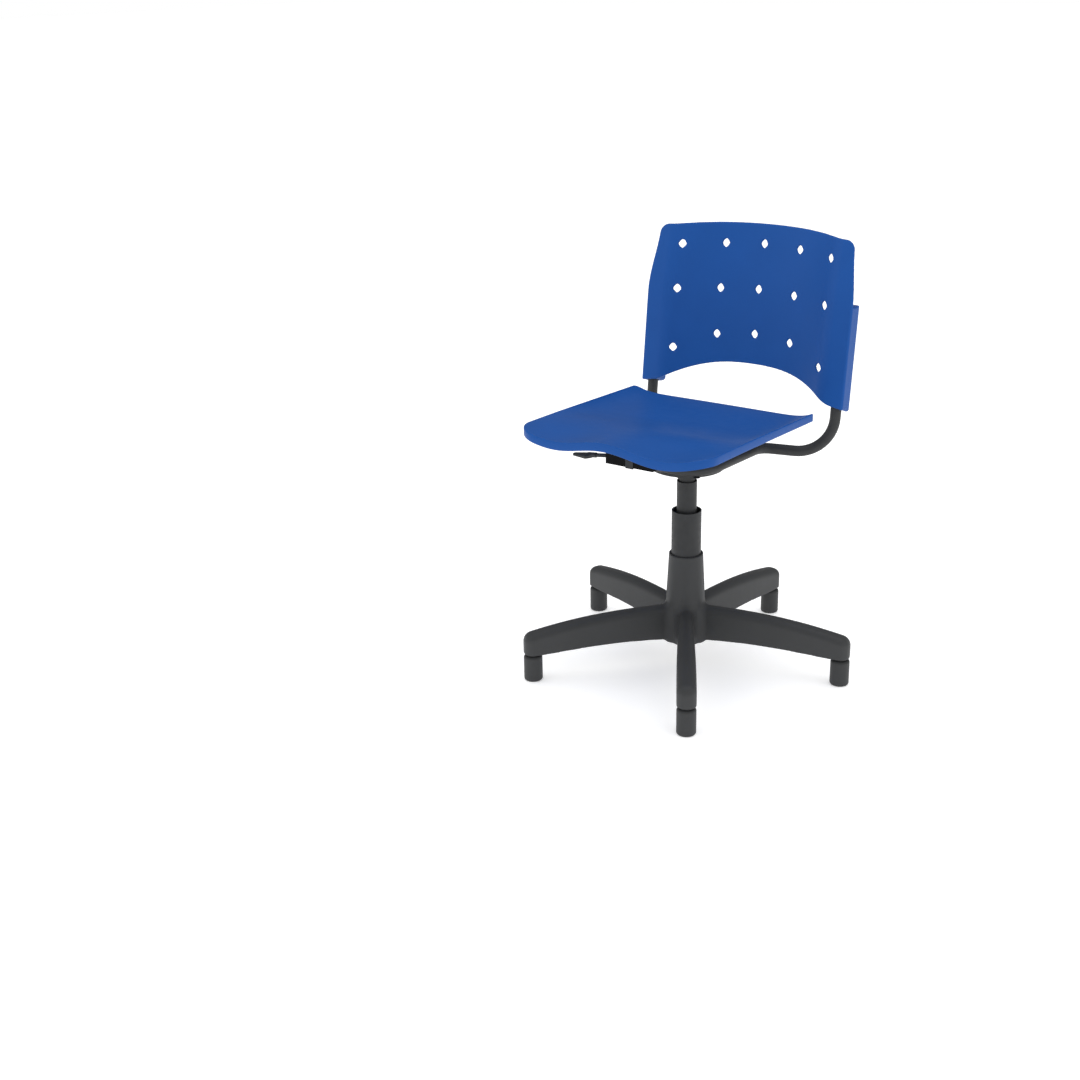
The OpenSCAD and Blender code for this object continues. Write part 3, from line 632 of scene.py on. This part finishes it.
BLUE = (0.010, 0.072, 0.290, 1)
ZINC = (0.55, 0.56, 0.58, 1)
BRASS = (0.66, 0.48, 0.2, 1)
MATERIALS = {
    "blue_plastic": moulded_plastic("blue_plastic", BLUE, 0.42, 0.7, 0.04, 0.11),
    "base_plastic": moulded_plastic("base_plastic", srgb(57, 58, 59), 0.5, 0.9, 0.06, 0.25),
    "foot_plastic": moulded_plastic("foot_plastic", srgb(54, 55, 56), 0.5, 0.9, 0.06, 0.25),
    "black_plastic": moulded_plastic("black_plastic", srgb(9, 9, 10), 0.6, 0.9, 0.06, 0.1),
    "frame_paint": powder_coat("frame_paint", srgb(51, 52, 53), 0.5),
    "black_steel": powder_coat("black_steel", srgb(38, 38, 40), 0.4),
    "steel": bare_metal("steel", ZINC, 0.32),
    "brass": bare_metal("brass", BRASS, 0.3),
    "rubber": dull_rubber("rubber", srgb(26, 26, 27)),
}


# ---------------------------------------------------------------- build

def place_pieces():
    """make the five pieces that stand for CAD nodes; a field may reach past its node's box"""
    points, quads = field_surface(star_field, base_low, base_high, 2.0)
    add_piece("star_base_moulding", points, quads, "stand", "base_plastic", "star_base")
    points, quads = field_surface(back_field, back_low - [4, 4, 12], back_high + [4, 4, 2], 1.6)
    add_piece("back", points, quads, "seat", "blue_plastic", "back_shell")
    make_seat()
    make_frame()
    low, high = box_mm("lever_paddle")
    points, quads = field_surface(paddle_field, low - [6, 2, 2], high, 0.6)
    add_piece("lever_finger_plate", points, quads, "lever", "foot_plastic", "lever_paddle")


EDGE_BREAK = 0.35


def dress_cad_nodes():
    """give every shown CAD node its material, smooth round faces and slightly broken edges"""
    slots = {part["node"]: part["material_slot"] for part in frame["record"]["subparts"]}
    for name, node in frame["nodes"].items():
        material = MATERIALS[slots[name]]
        node.data.materials.clear()
        node.data.materials.append(material)
        node.data.shade_smooth()
        node.data.set_sharp_from_angle(angle=math.radians(32))
        bevel = node.modifiers.new("broken edges", "BEVEL")
        bevel.width = EDGE_BREAK * MM
        bevel.segments = 2
        bevel.limit_method = "ANGLE"
        bevel.angle_limit = math.radians(40)
        bevel.harden_normals = True


# ---------------------------------------------------------------- stage, lights and camera

def add_stage():
    """a plain pale floor that glows faintly, so that it stays near white under the soft light"""
    mesh = bpy.data.meshes.new("floor")
    reach = 30
    mesh.from_pydata([(-reach, -reach, 0), (reach, -reach, 0), (reach, reach, 0), (-reach, reach, 0)],
                     [], [(0, 1, 2, 3)])
    floor = bpy.data.objects.new("floor", mesh)
    bpy.context.scene.collection.objects.link(floor)
    n = Nodes("pale_floor")
    n.shader.inputs["Base Color"].default_value = (0.93, 0.93, 0.93, 1)
    n.shader.inputs["Emission Color"].default_value = (1, 1, 1, 1)
    n.shader.inputs["Emission Strength"].default_value = 0.3
    n.shader.inputs["Roughness"].default_value = 0.9
    n.shader.inputs["Specular IOR Level"].default_value = 0.1
    mesh.materials.append(n.material)


def add_light(name, place, aim, size, power):
    """a round soft light, size metres across, that shines from a place towards an aim"""
    light = bpy.data.lights.new(name, "AREA")
    light.shape = "DISK"
    light.size = size
    light.energy = power
    lamp = bpy.data.objects.new(name, light)
    lamp.location = place
    lamp.rotation_mode = "QUATERNION"
    lamp.rotation_quaternion = (Vector(aim) - Vector(place)).to_track_quat("-Z", "Y")
    bpy.context.scene.collection.objects.link(lamp)


def add_lights():
    """three soft lights and a white surround, which shiny surfaces see at a fifth of its strength"""
    middle = (0, 0, 0.4)
    add_light("overhead", (0.2, 0.2, 3.6), middle, 3.2, 30)
    add_light("left_front", (-2.6, -2.2, 2.0), middle, 2.4, 13)
    add_light("right_side", (3.2, 0.1, 1.5), middle, 2.0, 9)
    world = bpy.data.worlds.new("studio")
    world.use_nodes = True
    background = world.node_tree.nodes["Background"]
    background.inputs["Color"].default_value = (1, 1, 1, 1)
    ray = world.node_tree.nodes.new("ShaderNodeLightPath")
    dimmed = world.node_tree.nodes.new("ShaderNodeMapRange")
    dimmed.inputs["To Min"].default_value = 1.0
    dimmed.inputs["To Max"].default_value = 0.2
    world.node_tree.links.new(ray.outputs["Is Glossy Ray"], dimmed.inputs["Value"])
    world.node_tree.links.new(dimmed.outputs["Result"], background.inputs["Strength"])
    bpy.context.scene.world = world


CAMERA_PLACE = (1.2727, -2.1874, 1.2)
CAMERA_PITCH, CAMERA_ROLL, CAMERA_YAW = 20.919, -1.306, 36
LENS, SENSOR = 51.34, 36


def add_camera():
    """the viewing angle: turned 36 degrees to the chair, looking 21 degrees down, rolled a little"""
    pitch, roll, yaw = (math.radians(a) for a in (CAMERA_PITCH, CAMERA_ROLL, CAMERA_YAW))
    turned = Matrix(((math.cos(yaw), -math.sin(yaw), 0), (math.sin(yaw), math.cos(yaw), 0), (0, 0, 1)))
    forward = turned @ Vector((0, math.cos(pitch), -math.sin(pitch)))
    up = turned @ Vector((0, math.sin(pitch), math.cos(pitch)))
    right = turned @ Vector((1, 0, 0))
    tilted_right = math.cos(roll) * right + math.sin(roll) * up
    tilted_up = math.cos(roll) * up - math.sin(roll) * right
    data = bpy.data.cameras.new("camera")
    data.sensor_width = SENSOR
    data.lens = LENS
    data.clip_end = 100
    camera = bpy.data.objects.new("camera", data)
    basis = Matrix((tilted_right, tilted_up, -forward)).transposed().to_4x4()
    camera.matrix_world = Matrix.Translation(CAMERA_PLACE) @ basis
    bpy.context.scene.collection.objects.link(camera)
    bpy.context.scene.camera = camera


place_pieces()
dress_cad_nodes()
add_stage()
add_lights()
add_camera()
bpy.context.scene.view_settings.view_transform = "Standard"
